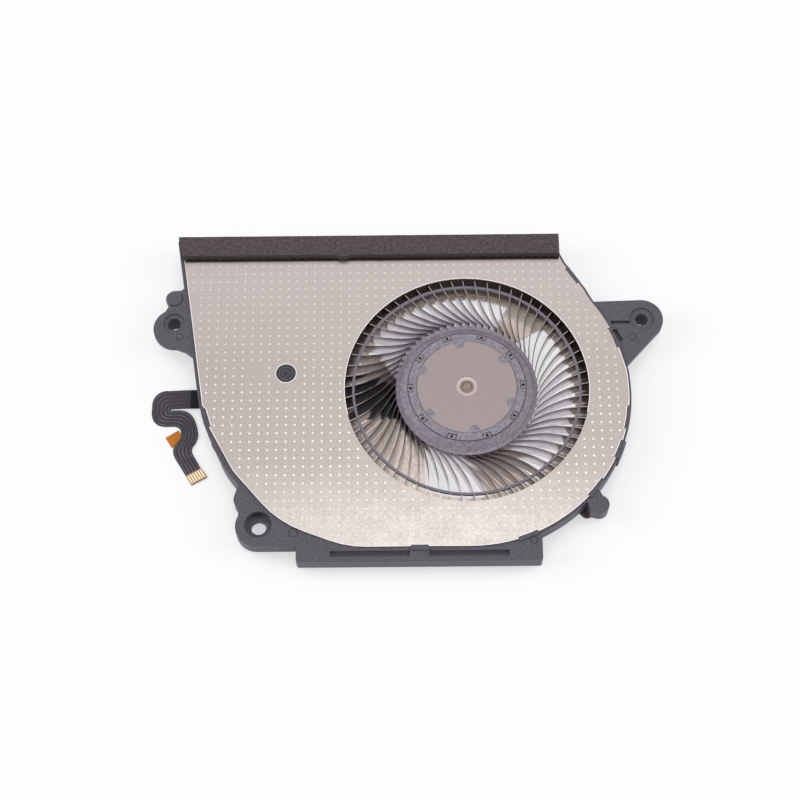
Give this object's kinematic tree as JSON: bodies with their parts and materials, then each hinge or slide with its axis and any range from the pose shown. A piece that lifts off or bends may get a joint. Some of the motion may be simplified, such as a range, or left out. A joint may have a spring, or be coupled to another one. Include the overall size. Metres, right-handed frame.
{
  "type": "laptop cooling fan",
  "caption": "Flat centrifugal blower for a laptop: steel cover and base, moulded frame with screw ears, impeller of thin blades, foam strip at the outlet, flat flex tail.",
  "frame": {"origin": "on the impeller's spin axis, at the underside of the base", "axes": "+X along the outlet towards the right ear, +Y towards the outlet, +Z along the spin axis, out of the inlet"},
  "size_m": [0.096, 0.0657, 0.0065],
  "materials": {
    "base_steel": "satin",
    "frame_plastic": "fine matt",
    "cover_steel": "fine satin grain",
    "foam": "open cell foam",
    "black_plastic": "satin",
    "hub_plastic": "satin",
    "blade_metal": "polished edges",
    "cap_steel": "satin",
    "magnet": "matt",
    "shaft_steel": "polished",
    "bearing_bronze": "satin",
    "housing_brass": "turned",
    "thrust_plastic": "smooth",
    "core_steel": "stamped",
    "insulator": "smooth",
    "copper_wire": "enamelled",
    "flex": "smooth film",
    "capacitor": "smooth",
    "tape": "film",
    "stiffener": "film",
    "contact_gold": "plated",
    "amber_film": "film"
  },
  "bodies": {
    "case": {"base_plate": "base_steel", "frame": "frame_plastic", "cover": "cover_steel", "foam_gasket": "foam", "support_post": "black_plastic", "bearing_sleeve": "bearing_bronze", "bearing_housing": "housing_brass", "thrust_pad": "thrust_plastic", "oil_seal": "black_plastic", "stator_core": "core_steel", "insulator_lower": "insulator", "insulator_upper": "insulator", "coil_1": "copper_wire", "coil_2": "copper_wire", "coil_3": "copper_wire", "coil_4": "copper_wire", "coil_5": "copper_wire", "coil_6": "copper_wire", "motor_flex": "flex", "driver_chip": "black_plastic", "chip_capacitors": "capacitor", "exit_tape": "tape", "flex_tail": "flex", "contact_end": "stiffener", "contact_pads": "contact_gold", "pull_tab": "amber_film"},
    "impeller": {"impeller_hub": "hub_plastic", "impeller_blades": "blade_metal", "blade_ring": "hub_plastic", "rotor_cap": "cap_steel", "ring_magnet": "magnet", "shaft": "shaft_steel", "shaft_bush": "cap_steel"}
  },
  "joints": [
    {"name": "impeller_spin", "type": "hinge", "parent": "case", "child": "impeller", "pos_m": [0, 0, 0], "axis": [0, 0, 1], "continuous": true}
  ]
}
